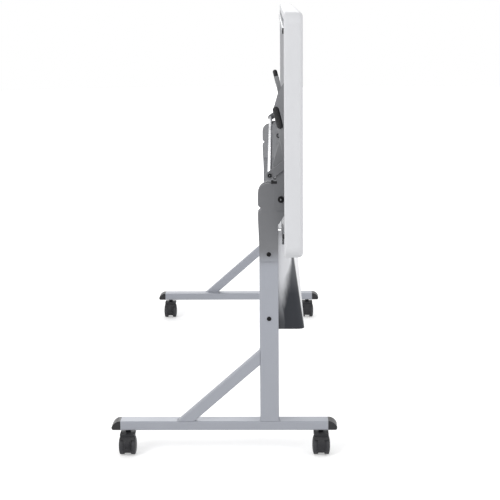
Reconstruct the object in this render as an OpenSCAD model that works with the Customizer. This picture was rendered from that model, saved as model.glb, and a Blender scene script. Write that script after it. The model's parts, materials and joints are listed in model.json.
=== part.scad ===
// Flip-top training table on casters, drawn with its top folded upright for nesting.
// X is the depth with the rear side at plus X, Y is the length of the top, Z is up.
// The origin is on the floor under the middle of the folded table. Sizes are millimetres.
// The end at minus Y is the right hand one for a person seated at the front.

/* [Tabletop] */
// Length of the tabletop
top_length = 1829; // [1600:1:2000]
// Depth of the tabletop
top_depth = 610; // [580:1:700]
// Height of the tabletop's rim
top_thickness = 46.5; // [44:0.5:54]
// Width of the rim as seen from below
rim_width = 21; // [16:1:26]
// Thickness of the moulded skin under the work surface
skin = 6; // [5:0.5:7]
// Thickness of the dark liner below the skin
liner = 4; // [3:0.5:4.5]
// Radius of the tabletop's corners in plan
corner_r = 32; // [24:1:60]
// Radius of the edge at the work surface
edge_r = 11; // [6:1:14]
// Radius of the edge at the underside
lower_edge_r = 5; // [3:1:8]
// Distance from the pivot to the rear edge of the open tabletop
rear_reach = 123; // [115:1:135]

/* [Heights] */
// Height of the work surface when the tabletop is open
work_height = 750; // [720:1:780]
// Height of the pivot below the rim's underside
pivot_drop = 7.5; // [6:0.5:10]
// Height of a caster from the floor to the foot
caster_height = 66; // [64:1:72]

/* [Legs] */
// Distance from an end of the tabletop to the outer face of a leg
leg_inset = 182.5; // [150:0.5:260]
// Width of a column along the depth
column_w = 50; // [46:1:54]
// Width of a column along the length of the table
column_d = 30; // [26:1:34]
// Wall of the column, foot and brace tubes
tube_wall = 2; // [1.5:0.1:2.5]
// Outer corner radius of the tubes
tube_r = 3; // [2.6:0.2:4]
// Height of a foot tube
foot_h = 25; // [22:1:30]
// Width of a foot tube
foot_w = 40; // [38:1:44]
// Reach of a foot from the column's front face to its front tip
foot_front = 401; // [380:1:430]
// Reach of a foot from the column's front face to its rear tip
foot_rear = 206; // [200:1:230]
// Depth of a brace tube across its run
brace_w = 30; // [24:1:34]
// Width of a brace tube along the length of the table
brace_d = 20; // [16:1:24]
// Distance from the column to the front of the brace on the foot
brace_reach = 223; // [200:1:250]
// Angle of the brace above the foot in degrees
brace_angle = 41.3; // [38:0.1:45]

/* [Head brackets and hinge cheeks] */
// Thickness of the head plates
head_t = 4; // [3:0.5:4.5]
// How far the head plates stand forward of the column
head_overhang = 3; // [2:0.5:4]
// Distance from the column's front face to the pivot
pivot_inset = 57.5; // [57:0.5:62]
// Radius of the head plates' rounded front corner
head_corner_r = 28; // [24:1:30]
// Thickness of the hinge cheeks
cheek_t = 4; // [3:0.5:5]
// Gap between a head plate and a hinge cheek
cheek_gap = 0.5; // [0.4:0.1:0.8]
// Radius of the pivot bolt's shank
pivot_r = 5; // [4.5:0.1:5.4]
// Outer radius of the pivot bush
bush_r = 7.5; // [7.2:0.1:8]

/* [Latch] */
// Radius of the latch bar
bar_r = 6; // [5.5:0.1:6.4]
// Thickness of a crank
crank_t = 4; // [3:0.5:5]
// Width of the crank's arm to the latch bar
crank_arm_w = 21; // [19:1:22]
// Radius of the crank pins
crank_pin_r = 4; // [3.5:0.1:4.4]
// Angle by which the latch closes from the free position
latch_close = 5; // [4.5:0.1:5.4]
// Length of a release grip
grip_length = 59; // [50:1:70]

/* [Modesty panel] */
// Thickness of the panel's sheet
sheet = 1.5; // [1:0.1:2]
// Gap between the folded top's rear rail and the panel's upper edge
panel_gap = 3; // [2:0.5:10]
// Height of the panel
panel_height = 272; // [240:1:300]
// Inner bend radius at the panel's two wings
panel_bend = 16; // [10:1:20]
// Radius of the panel bolts
panel_bolt_r = 3; // [2.5:0.1:3.4]

/* [Casters] */
// Radius of a caster wheel
wheel_r = 25; // [23:0.5:25.5]
// Width of one wheel
wheel_w = 15.5; // [14:0.5:17]
// Gap between the two wheels of a caster
wheel_gap = 17; // [15:0.5:19]
// Distance between the swivel axis and the wheel axle
trail = 17; // [14:0.5:19]
// Radius of the swivel stem
stem_r = 5.5; // [5:0.1:6]
// Radius of the wheel axle
axle_r = 3; // [2.6:0.1:3.4]

/* [Hidden] */
$fn = 64;

// The two ends of the table and the two caster rows
RIGHT = -1;
LEFT = 1;
FRONT = -1;
REAR = 1;

// Clearances shared by the pieces
fit = 0.05;
seat_gap = 0.3;
run_gap = 0.5;

// Heights worked out from the folded and the open position
foot_bottom = caster_height;
foot_top = foot_bottom + foot_h;
pivot_z = work_height - top_thickness - pivot_drop;
deck_h = pivot_drop + top_thickness - skin - liner;
column_top = pivot_z - 41;
leg_span = top_length - 2 * leg_inset;

// End caps of the feet and plugs of the rails
cap_length = foot_h - 1;
cap_toe_r = 6;
plug_length = 10;
plug_play = 0.4;

// Plan positions
column_x = (foot_front - foot_rear) / 2;
pivot_x = column_x + pivot_inset;
front_reach = top_depth - rear_reach;

// Rails under the tabletop, in from its edges
rail_t = 14;
rail_h = 40;
rail_inset = 40;

// Modesty panel, measured from the column's front face: a face that leans out to a shoulder
// under the folded top's edge, and a neck above it
neck_gap = 5;
shoulder_gap = 4;
shoulder_fall = 6;
panel_foot_x = 118;
panel_shoulder_x = 86;
panel_neck_x = pivot_inset + pivot_drop - neck_gap;
panel_top_x = panel_neck_x - 2;
neck_z = pivot_z - rear_reach - shoulder_gap;
shoulder_z = neck_z - shoulder_fall;
panel_high = pivot_z - rear_reach + rail_inset - panel_gap;
panel_low = panel_high - panel_height;
panel_lean = atan((panel_foot_x - panel_shoulder_x) / (shoulder_z - panel_low));
wing_front = 2;
wing_drop = 4;
wing_top = panel_high - wing_drop;
neck_inset = 12;
lip = 12;
panel_bolt_x = column_w / 2;
panel_bolt_rise = 36;
panel_bolt_drop = 61;
panel_bolt_z = [panel_low + panel_bolt_rise, panel_high - panel_bolt_drop];
panel_head_t = 4;

// Head plates, measured from the pivot
pivot_head_r = 1.7 * pivot_r;
pivot_head_t = 1.4 * pivot_r;
pivot_nut_r = 1.8 * pivot_r;
pivot_nut_t = 1.4 * pivot_r;
head_clear = 2;
head_rise = deck_h - head_clear;
head_left = -(pivot_inset + head_overhang);
head_corner = [head_left + head_corner_r, head_rise - head_corner_r];
head_ear = 14.5;
head_shoulder = 69;
head_knee = 56;
head_taper = 128;
skirt_margin = 19;
outer_skirt_z = panel_bolt_z[1] - skirt_margin;
inner_skirt_z = wing_top + head_clear * 3;

// Stack of plates at a leg, measured inward from the column's outer face
head_outer_y = -head_t;
head_inner_y = column_d + head_t;
cheek_outer_y = head_outer_y - cheek_gap - cheek_t;
cheek_inner_y = head_inner_y + cheek_gap;
crank_y = cheek_outer_y - run_gap - crank_t;

// Latch geometry, measured from the pivot with the tabletop open
ride_gap = 0.6;
notch_gap = 0.2;
ride_r = norm(head_corner) + head_corner_r + bar_r + ride_gap;
bar_angle = 204.5;
bar_free = ride_r * [cos(bar_angle), sin(bar_angle)];
crank_pin = [-97, 17.5];
function turned(v, angle) =
  [v[0] * cos(angle) - v[1] * sin(angle), v[0] * sin(angle) + v[1] * cos(angle)];
bar_closed = crank_pin + turned(bar_free - crank_pin, latch_close);
notch_tip = bar_closed + [(bar_r + notch_gap) * sqrt(2), 0];
grip_low = [-180, 1.5];
grip_lean = 14;
grip_way = [-cos(grip_lean), -sin(grip_lean)];
grip_start = 6;
grip_r = 8.5;
grip_pad_t = 5;
grip_hood = 27;
lever_end = grip_start + grip_length - 6;
grip_high = grip_low + lever_end * grip_way;
bar_bolt_r = 3;
bar_bore = 20;
crank_head_t = 3;
lever_root = 9;
lever_knee = 8;
lever_tip = 6.5;
spring_wire_r = 0.8;
spring_turns = 4;
spring_pitch = 2.2;
spring_r = crank_pin_r + 2.2;
spring_length = spring_turns * spring_pitch + 2 * spring_wire_r;

// Hinge cheek outline, measured from the pivot with the tabletop open
cheek_low = -19.5;
cheek_rear = 29;
cheek_r = 9;
bar_bay = [-79, -51];
bar_bay_h = -13;
cheek_belly = -95;
cheek_front_low = [-161, -0.5];
cheek_front = -225;
bumper_w = 9;
flange_t = 3;
flange_w = 32;
flange_rear = 55;
screw_r = 2.5;
screw_places = [-205, -95, 35];

// Channels and their places under the tabletop
channel_w = 36;
channel_h = 20;
channel_wall = 2;
channel_y = cheek_inner_y + cheek_t + flange_w + 6;

// Caster parts
caster_inset = 43;
caster_front_x = caster_inset - foot_front;
caster_rear_x = foot_rear - caster_inset;
caster_y = foot_w / 2;
stem_flange_r = 9;
stem_flange_t = 3;
stem_grip = 14;
hood_gap = 2;
hood_t = 2.5;
wheel_clear = 1.2;
boss_r = 7;
caster_span = 4 * wheel_r;
plate_low = 2 * wheel_r + hood_gap;
plate_t = 5.5;
plate_half = 20;
plate_front = -12;
fender_low = 45;
apron_w = 20;
apron_low = 12;
apron_back = 32;
axle_inset = 3;
pedal_w = 12;
pedal_t = 3;
pedal_arc = [0, 35];
pedal_toe = 9;
boss_top = foot_bottom - stem_flange_t - seat_gap;
web_w = wheel_gap - 1.6;

// Places a piece in the frame of one leg: X from the column's front face,
// Y inward from its outer face, Z from the floor
module at_leg(side) {
  if (side == RIGHT)
    translate([column_x, -leg_span / 2, 0]) children();
  else
    translate([column_x, leg_span / 2, 0]) mirror([0, 1, 0]) children();
}

// Places a piece drawn for the open tabletop, from the pivot line, in its folded position
module folded() {
  translate([pivot_x, 0, pivot_z]) rotate([0, 90, 0]) children();
}

// The same at one leg, with Y inward from the column's outer face
module folded_at(side) {
  if (side == RIGHT)
    translate([0, -leg_span / 2, 0]) folded() children();
  else
    translate([0, leg_span / 2, 0]) mirror([0, 1, 0]) folded() children();
}

// Extrudes an outline drawn in X and Z over the Y range from y0 to y1
module slab_y(y0, y1) {
  translate([0, y1, 0]) rotate([90, 0, 0]) linear_extrude(y1 - y0) children();
}

// A round bar along Y through the point x, z
module rod_y(x, z, r, y0, y1) {
  translate([x, y1, z]) rotate([90, 0, 0]) cylinder(r = r, h = y1 - y0);
}

// A rectangle with rounded corners from the corner a to the corner b
module soft_rect(a, b, r) {
  translate([a[0] + r, a[1]]) square([b[0] - a[0] - 2 * r, b[1] - a[1]]);
  translate([a[0], a[1] + r]) square([b[0] - a[0], b[1] - a[1] - 2 * r]);
  for (x = [a[0] + r, b[0] - r], y = [a[1] + r, b[1] - r])
    translate([x, y]) circle(r = r);
}

// Section of a rectangular tube from the corner a to the corner b
module tube_section(a, b) {
  inner = max(tube_r - tube_wall, 0.5);
  difference() {
    soft_rect(a, b, tube_r);
    soft_rect(a + [tube_wall, tube_wall], b - [tube_wall, tube_wall], inner);
  }
}

// Column with its holes for the panel bolts
module column() {
  difference() {
    translate([0, 0, foot_top])
      linear_extrude(column_top - foot_top)
        tube_section([0, 0], [column_w, column_d]);
    for (z = panel_bolt_z)
      rod_y(panel_bolt_x, z, panel_bolt_r + fit, -1, column_d + 1);
  }
}

// Foot tube with the holes for its two caster stems
module foot() {
  difference() {
    translate([-foot_front + cap_length, 0, foot_bottom])
      rotate([90, 0, 90])
        linear_extrude(foot_front + foot_rear - 2 * cap_length)
          tube_section([0, 0], [foot_w, foot_h]);
    for (x = [caster_front_x, caster_rear_x])
      translate([x, caster_y, foot_bottom - 1])
        cylinder(r = stem_r + fit, h = tube_wall + 2);
  }
}

// Brace tube cut flush to the foot and to the column
module brace() {
  run = brace_reach / cos(brace_angle);
  intersection() {
    translate([-brace_reach, 0, foot_top])
      rotate([0, -brace_angle, 0])
        translate([-brace_w * 2, 0, -brace_w])
          rotate([90, 0, 90])
            linear_extrude(run + brace_w * 4)
              tube_section([0, 0], [brace_d, brace_w]);
    translate([-2 * brace_reach, -1, foot_top])
      cube([2 * brace_reach, brace_d + 2, 2 * brace_reach]);
  }
}

// Side view of an end cap: a quarter round with its lower corner rounded
module cap_outline() {
  difference() {
    intersection() {
      translate([0, -1]) circle(r = foot_h + 1);
      square([cap_length, foot_h]);
    }
    difference() {
      translate([cap_length - cap_toe_r, -1]) square([cap_toe_r + 1, cap_toe_r + 1]);
      translate([cap_length - cap_toe_r, cap_toe_r]) circle(r = cap_toe_r);
    }
  }
}

// End cap with a quarter round dome and a plug inside the foot tube
module foot_cap() {
  plug = tube_wall + plug_play;
  intersection() {
    rotate([90, 0, 90]) linear_extrude(cap_length) soft_rect([0, 0], [foot_w, foot_h], tube_r);
    slab_y(0, foot_w) cap_outline();
  }
  translate([-plug_length, plug, plug])
    cube([plug_length + 0.01, foot_w - 2 * plug, foot_h - 2 * plug]);
}

// Outline of a head plate with its rounded front corner and latch notch
module head_outline(skirt_z) {
  skirt = skirt_z - pivot_z;
  taper = max(-head_taper, skirt + 4 * head_overhang);
  col_rear = column_w - pivot_inset;
  difference() {
    polygon([
      [-pivot_inset, skirt], [col_rear, skirt], [col_rear, -head_shoulder], [head_ear - 4, -41],
      [head_ear, -31], [head_ear, 16], [2.5, head_rise], [head_left, head_rise],
      [head_left, -head_knee], [-pivot_inset, taper]
    ]);
    difference() {
      translate([head_left - 1, head_corner[1]])
        square([head_corner_r + 1, head_corner_r + 1]);
      translate(head_corner) circle(r = head_corner_r, $fn = 96);
    }
    depth = notch_tip[0] - head_left + 1;
    polygon([notch_tip, notch_tip + [-depth, depth], notch_tip + [-depth, -depth]]);
    circle(r = bush_r + fit);
    translate([panel_bolt_x - pivot_inset, panel_bolt_z[1] - pivot_z])
      circle(r = panel_bolt_r + fit);
  }
}

module head_plate(y0, skirt_z) {
  translate([pivot_inset, 0, pivot_z])
    slab_y(y0, y0 + head_t) head_outline(skirt_z);
}

// Bush that the pivot bolt turns in, through both head plates
module pivot_bush() {
  difference() {
    rod_y(pivot_inset, pivot_z, bush_r, head_outer_y - 0.2, head_inner_y + 0.2);
    rod_y(pivot_inset, pivot_z, pivot_r + fit, head_outer_y - 2, head_inner_y + 2);
  }
}

// Block behind the panel's leaning face, out to x and y, with its upright corners rounded
module panel_block(x, y, r) {
  spare = 40;
  deep = 240;
  run = panel_height / cos(panel_lean);
  translate([panel_foot_x, 0, panel_low])
    rotate([0, -panel_lean, 0])
      translate([0, 0, -spare])
        linear_extrude(run + 2 * spare)
          soft_rect([x - deep, -y], [x, y], r);
}

// Folded sheet panel: a leaning face with a shoulder and a neck above it, two end wings
// that are bolted to the columns, and a lip along each long edge
module modesty_panel_body() {
  y_end = leg_span / 2 - column_d;
  far_x = 2 * panel_foot_x;
  outer_r = panel_bend + sheet;
  difference() {
    union() {
      intersection() {
        difference() {
          panel_block(sheet, y_end, outer_r);
          panel_block(0, y_end - sheet, panel_bend);
        }
        slab_y(-y_end - 1, y_end + 1)
          polygon([
            [wing_front, panel_low], [far_x, panel_low], [far_x, shoulder_z],
            [panel_shoulder_x, shoulder_z], [panel_neck_x, neck_z],
            [panel_neck_x, wing_top], [wing_front, wing_top]
          ]);
      }
      intersection() {
        panel_block(sheet, y_end, outer_r);
        slab_y(-y_end - 1, y_end + 1)
          polygon([
            [panel_neck_x, neck_z - sheet], [panel_shoulder_x, shoulder_z - sheet],
            [far_x, shoulder_z - sheet], [far_x, shoulder_z],
            [panel_shoulder_x, shoulder_z], [panel_neck_x, neck_z]
          ]);
      }
    }
    for (side = [-1, 1], z = panel_bolt_z)
      rod_y(panel_bolt_x, z, panel_bolt_r + fit, side * y_end - 3, side * y_end + 3);
  }
  neck_y = y_end - neck_inset;
  slab_y(-neck_y, neck_y)
    polygon([
      [panel_neck_x, neck_z - sheet], [panel_neck_x + sheet, neck_z - sheet],
      [panel_top_x + sheet, panel_high], [panel_top_x, panel_high]
    ]);
  slab_y(-neck_y, neck_y)
    polygon([
      [panel_top_x - lip, panel_high - sheet], [panel_top_x + 0.8, panel_high - sheet],
      [panel_top_x + 0.8, panel_high], [panel_top_x - lip, panel_high]
    ]);
  lip_y = y_end - outer_r;
  slab_y(-lip_y, lip_y)
    polygon([
      [panel_foot_x - lip, panel_low], [panel_foot_x + 0.5, panel_low],
      [panel_foot_x + 0.5, panel_low + sheet], [panel_foot_x - lip, panel_low + sheet]
    ]);
}

// Socket head bolt through a column and a wing of the panel, the upper one over the head plate
module panel_bolt(z) {
  seat = z == panel_bolt_z[1] ? head_outer_y : 0;
  difference() {
    union() {
      rod_y(panel_bolt_x, z, 2 * panel_bolt_r, seat - panel_head_t, seat);
      rod_y(panel_bolt_x, z, panel_bolt_r, seat - 0.01, column_d + sheet + 8);
    }
    translate([panel_bolt_x, seat - panel_head_t / 2, z])
      rotate([90, 0, 0]) cylinder(r = 2.6, h = 3, $fn = 6);
  }
}

module panel_nut(z) {
  face = column_d + sheet;
  difference() {
    translate([panel_bolt_x, face + 5, z]) rotate([90, 0, 0]) cylinder(r = 6, h = 5, $fn = 6);
    rod_y(panel_bolt_x, z, panel_bolt_r + fit, face - 1, face + 6);
  }
}

// Cross section of the moulded rim, with X outward and Y up from the rim's underside
module rim_section() {
  difference() {
    square([rim_width, top_thickness]);
    difference() {
      translate([rim_width - edge_r, top_thickness - edge_r]) square(edge_r + 1);
      translate([rim_width - edge_r, top_thickness - edge_r]) circle(r = edge_r);
    }
    difference() {
      translate([rim_width - lower_edge_r, -1]) square([lower_edge_r + 1, lower_edge_r + 1]);
      translate([rim_width - lower_edge_r, lower_edge_r]) circle(r = lower_edge_r);
    }
  }
}

// One straight run of the rim along X with its outer side at plus Y
module rim_run(length, reach) {
  rotate([90, 0, 90])
    translate([reach - rim_width, 0, -length / 2])
      linear_extrude(length) rim_section();
}

// Moulded tabletop: a thin skin with a deep rounded rim all round
module worktop_body() {
  half_a = top_depth / 2;
  half_y = top_length / 2;
  skin_inset = rim_width - 4;
  translate([(rear_reach - front_reach) / 2, 0, pivot_drop]) {
    translate([0, 0, top_thickness - skin])
      linear_extrude(skin)
        soft_rect(
          [-half_a + skin_inset, -half_y + skin_inset],
          [half_a - skin_inset, half_y - skin_inset], corner_r - skin_inset);
    for (turn = [0, 180])
      rotate([0, 0, turn]) rim_run(top_depth - 2 * corner_r, half_y);
    for (turn = [90, 270])
      rotate([0, 0, turn]) rim_run(top_length - 2 * corner_r, half_a);
    for (turn = [0, 90, 180, 270]) {
      reach_x = (turn == 0 || turn == 180) ? half_a : half_y;
      reach_y = (turn == 0 || turn == 180) ? half_y : half_a;
      rotate([0, 0, turn])
        translate([reach_x - corner_r, reach_y - corner_r, 0])
          rotate_extrude(angle = 90)
            translate([corner_r - rim_width, 0]) rim_section();
    }
  }
}

// Dark liner sheet pressed into the rim below the skin
module liner_body() {
  half_a = top_depth / 2 - rim_width - seat_gap;
  half_y = top_length / 2 - rim_width - seat_gap;
  translate([(rear_reach - front_reach) / 2, 0, deck_h])
    linear_extrude(liner)
      soft_rect([-half_a, -half_y], [half_a, half_y], corner_r - rim_width);
}

// Rectangular apron rail along the length, under the liner
module apron_rail(row) {
  edge = row == FRONT ? -front_reach + rail_inset : rear_reach - rail_inset - rail_t;
  length = top_length - 2 * rim_width - 2 * rail_inset;
  translate([edge, length / 2, deck_h - rail_h])
    rotate([90, 0, 0])
      linear_extrude(length) tube_section([0, 0], [rail_t, rail_h]);
}

module rail_plug(row, side) {
  edge = row == FRONT ? -front_reach + rail_inset : rear_reach - rail_inset - rail_t;
  end = top_length / 2 - rim_width - rail_inset;
  inset = tube_wall + plug_play;
  mirror([0, side == LEFT ? 0 : 1, 0]) {
    translate([edge, end, deck_h - rail_h])
      cube([rail_t, 3, rail_h]);
    translate([edge + inset, end - plug_length, deck_h - rail_h + inset])
      cube([rail_t - 2 * inset, plug_length + 0.01, rail_h - 2 * inset]);
  }
}

// Channel across the depth between the apron rails
module cross_channel() {
  a0 = -front_reach + rail_inset + rail_t + seat_gap;
  a1 = rear_reach - rail_inset - rail_t - seat_gap;
  translate([a0, channel_y, deck_h - channel_h])
    rotate([90, 0, 90])
      linear_extrude(a1 - a0)
        difference() {
          square([channel_w, channel_h]);
          translate([channel_wall, channel_wall])
            square([channel_w - 2 * channel_wall, channel_h]);
        }
}

// Outline of a hinge cheek with a bay that the latch bar moves in
module cheek_outline() {
  flange_low = deck_h - flange_t;
  difference() {
    union() {
      difference() {
        polygon([
          [cheek_front, flange_low], cheek_front_low, [cheek_belly, cheek_low],
          [bar_bay[0], cheek_low], [bar_bay[0], bar_bay_h], [bar_bay[1], bar_bay_h],
          [bar_bay[1], cheek_low], [cheek_rear, cheek_low], [cheek_rear, 8],
          [flange_rear, flange_low], [flange_rear, deck_h], [cheek_front, deck_h]
        ]);
        translate([cheek_rear - cheek_r, cheek_low - 1]) square([cheek_r + 1, cheek_r + 1]);
      }
      translate([cheek_rear - cheek_r, cheek_low + cheek_r]) circle(r = cheek_r);
    }
    circle(r = pivot_r + fit);
  }
}

// Angled hinge cheek: a plate beside the head plate and a flange screwed to the liner
module hinge_cheek(outer) {
  y0 = outer ? cheek_outer_y : cheek_inner_y;
  flange_y = outer ? y0 - flange_w : y0 + cheek_t;
  difference() {
    union() {
      slab_y(y0, y0 + cheek_t) cheek_outline();
      translate([cheek_front, flange_y - 0.01, deck_h - flange_t])
        cube([flange_rear - cheek_front, flange_w + 0.02, flange_t]);
    }
    if (outer)
      rod_y(crank_pin[0], crank_pin[1], crank_pin_r + fit, y0 - 1, y0 + cheek_t + 1);
    for (a = screw_places)
      translate([a, flange_y + flange_w / 2, deck_h - flange_t - 1])
        cylinder(r = screw_r + fit, h = flange_t + 2);
  }
}

// Screw from the flange up into the liner
module cheek_screw(a, outer) {
  y0 = outer ? cheek_outer_y - flange_w / 2 : cheek_inner_y + cheek_t + flange_w / 2;
  translate([a, y0, deck_h - flange_t - 3]) {
    difference() {
      cylinder(r = 5, h = 3);
      translate([0, 0, -1]) cylinder(r = 2.4, h = 2.5, $fn = 6);
    }
    cylinder(r = screw_r, h = flange_t + 3);
  }
}

// Bolt that joins the two cheeks through the bush
module pivot_bolt() {
  head_y = cheek_outer_y - pivot_head_t;
  end_y = cheek_inner_y + cheek_t + pivot_nut_t + 2;
  difference() {
    union() {
      rod_y(0, 0, pivot_head_r, head_y, cheek_outer_y);
      rod_y(0, 0, pivot_r, cheek_outer_y - 0.01, end_y);
    }
    translate([0, head_y + 4, 0])
      rotate([90, 0, 0]) cylinder(r = pivot_head_r / 2, h = 5, $fn = 6);
  }
}

module pivot_nut() {
  y0 = cheek_inner_y + cheek_t;
  difference() {
    translate([0, y0 + pivot_nut_t, 0])
      rotate([90, 0, 0]) cylinder(r = pivot_nut_r, h = pivot_nut_t, $fn = 6);
    rod_y(0, 0, pivot_r + fit, y0 - 1, y0 + pivot_nut_t + 1);
  }
}

// Rubber block under the outer cheek beside the bar's bay, with a lip on the cheek's side
module latch_bumper() {
  side_t = 1.5;
  foot_drop = 6;
  side_rise = 9;
  lip_back = 2.5;
  translate([bar_bay[1] + 0.5, cheek_outer_y, cheek_low - foot_drop]) {
    cube([bumper_w, cheek_t, foot_drop]);
    translate([lip_back, -side_t, 0])
      cube([bumper_w - lip_back, side_t + 0.01, foot_drop]);
    translate([lip_back, -side_t, 0])
      cube([bumper_w - lip_back, side_t, foot_drop + side_rise]);
  }
}

// Flanged pin that carries a crank on the outer cheek
module crank_pin_body() {
  y_head = crank_y - run_gap - spring_length - seat_gap;
  rod_y(crank_pin[0], crank_pin[1], crank_pin_r, y_head, cheek_outer_y + cheek_t + 0.01);
  rod_y(crank_pin[0], crank_pin[1], crank_pin_r + 4, y_head - crank_head_t, y_head + 0.01);
  rod_y(crank_pin[0], crank_pin[1], crank_pin_r + 2, cheek_outer_y + cheek_t,
    cheek_outer_y + cheek_t + 1.5);
}

// Unit vector square to the run from p to q
function square_to(p, q) = [p[1] - q[1], q[0] - p[0]] / norm(q - p);

// Straight strip from p to q with its own half width at each end
module strip(p, q, wp, wq) {
  n = square_to(p, q);
  polygon([p - wp * n, q - wq * n, q + wq * n, p + wp * n]);
}

// Crank: arm to the latch bar, boss on the pin, lever to the grip
module crank_outline() {
  n_root = square_to(crank_pin, grip_low);
  n_tip = square_to(grip_low, grip_high);
  n_knee = (n_root + n_tip) / norm(n_root + n_tip);
  difference() {
    union() {
      translate(bar_free) circle(r = crank_arm_w / 2);
      translate(crank_pin) circle(r = crank_arm_w / 2 + 2.5);
      strip(bar_free, crank_pin, crank_arm_w / 2, crank_arm_w / 2);
      polygon([
        crank_pin - lever_root * n_root, grip_low - lever_knee * n_knee,
        grip_high - lever_tip * n_tip, grip_high + lever_tip * n_tip,
        grip_low + lever_knee * n_knee, crank_pin + lever_root * n_root
      ]);
    }
    translate(bar_free) circle(r = bar_bolt_r + fit);
    translate(crank_pin) circle(r = crank_pin_r + fit);
  }
}

module crank_body() {
  slab_y(crank_y, crank_y + crank_t) crank_outline();
}

// Rounded strip of the grip from s0 to s1 along the lever
module grip_outline(s0, s1) {
  p = grip_low + (s0 + grip_r) * grip_way;
  q = grip_low + (s1 - grip_r) * grip_way;
  translate(p) circle(r = grip_r);
  translate(q) circle(r = grip_r);
  strip(p, q, grip_r, grip_r);
}

// Moulded grip: a pad on the lever's outer side and a hood over its end
module grip_body() {
  grip_end = grip_start + grip_length;
  slot_end = grip_low + (lever_end + fit) * grip_way;
  difference() {
    union() {
      slab_y(crank_y - grip_pad_t, crank_y) grip_outline(grip_start, grip_end);
      slab_y(crank_y - 1, crank_y + crank_t + 3.5)
        grip_outline(grip_end - grip_hood, grip_end);
    }
    slab_y(crank_y, crank_y + crank_t + fit)
      strip(grip_low, slot_end, lever_knee + 2 * fit, lever_tip + 2 * fit);
  }
}

// Round latch bar from crank to crank, with a blind bore in each end
module latch_bar_body() {
  length = leg_span - 2 * (crank_y + crank_t);
  difference() {
    rod_y(bar_free[0], bar_free[1], bar_r, -length / 2, length / 2);
    for (side = [RIGHT, LEFT])
      rod_y(bar_free[0], bar_free[1], bar_bolt_r + fit,
        side * length / 2 - bar_bore, side * length / 2 + bar_bore);
  }
}

module bar_bolt() {
  difference() {
    union() {
      rod_y(bar_free[0], bar_free[1], 5.5, crank_y - 4, crank_y);
      rod_y(bar_free[0], bar_free[1], bar_bolt_r, crank_y - 0.01, crank_y + crank_t + 16);
    }
    translate([bar_free[0], crank_y - 2, bar_free[1]])
      rotate([90, 0, 0]) cylinder(r = 2.6, h = 3, $fn = 6);
  }
}

// Torsion spring round the crank pin: leg, coils and leg as one tube
spring_steps = 12;
spring_y0 = crank_y - run_gap - spring_wire_r;
function spring_coil(i) =
  let (turn = i / spring_steps, angle = 90 + 360 * turn)
  [
    crank_pin[0] + spring_r * cos(angle),
    spring_y0 - spring_pitch * turn,
    crank_pin[1] + spring_r * sin(angle)
  ];
spring_last = spring_turns * spring_steps;
spring_leg = [22, 0, 0];
spring_path = concat(
  [spring_coil(0) + spring_leg, spring_coil(0) + spring_leg / 4],
  [for (i = [0:spring_last]) spring_coil(i)],
  [spring_coil(spring_last) - spring_leg / 4, spring_coil(spring_last) - spring_leg]
);
// Least distance between places on the wire that are at least half a turn apart
spring_gap = min([
  for (i = [0:spring_last], j = [0:spring_last])
    if (j - i > spring_steps / 2) norm(spring_coil(i) - spring_coil(j)) - 2 * spring_wire_r
]);

// Ring of points round the path, in the plane across the wire
function wire_ring(path, i, sides) =
  let (
    last = len(path) - 1,
    ahead = path[min(i + 1, last)] - path[max(i - 1, 0)],
    along = ahead / norm(ahead),
    across = cross(along, [0, 1, 0]),
    side = across / norm(across),
    up = cross(side, along)
  )
  [for (k = [0:sides - 1])
    path[i] + spring_wire_r * (cos(360 * k / sides) * side + sin(360 * k / sides) * up)];

module wire(path) {
  sides = 6;
  last = len(path) - 1;
  points = [for (i = [0:last], p = wire_ring(path, i, sides)) p];
  walls = [
    for (i = [0:last - 1], k = [0:sides - 1], half = [0, 1])
      let (a = i * sides + k, b = i * sides + (k + 1) % sides)
      half == 0 ? [a, a + sides, b] : [b, a + sides, b + sides]
  ];
  first_cap = [for (k = [1:sides - 2]) [0, k, k + 1]];
  last_cap = [for (k = [1:sides - 2]) [last * sides, last * sides + k + 1, last * sides + k]];
  polyhedron(points, concat(walls, first_cap, last_cap));
}

module crank_spring() {
  wire(spring_path);
}

// Places a caster: X and Y from its swivel axis, Z from the floor
module at_caster(row, side) {
  x = row == FRONT ? caster_front_x : caster_rear_x;
  at_leg(side)
    translate([x, caster_y, 0])
      rotate([0, 0, side == RIGHT ? 180 : 0])
        children();
}

// Swivel stem with a flange below the foot
module caster_stem() {
  cylinder_z(stem_r, boss_top - stem_grip, foot_bottom + 18);
  cylinder_z(stem_flange_r, foot_bottom - stem_flange_t, foot_bottom);
}

module cylinder_z(r, z0, z1) {
  translate([0, 0, z0]) cylinder(r = r, h = z1 - z0);
}

// A round bar along X with its middle at X zero, through the point y, z
module rod_x(y, z, r, width) {
  translate([-width / 2, y, z]) rotate([0, 90, 0]) cylinder(r = r, h = width);
}

// Part of a shell round the wheels' axis, as wide as w, inside the box from y0 and z0
module arch(w, y0, z0) {
  arch_r = wheel_r + hood_gap;
  intersection() {
    difference() {
      rod_x(trail, wheel_r, arch_r + hood_t, w);
      rod_x(trail, wheel_r, arch_r, w + 2);
    }
    translate([-w, y0, z0]) cube([2 * w, 2 * caster_span, caster_span]);
  }
}

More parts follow.
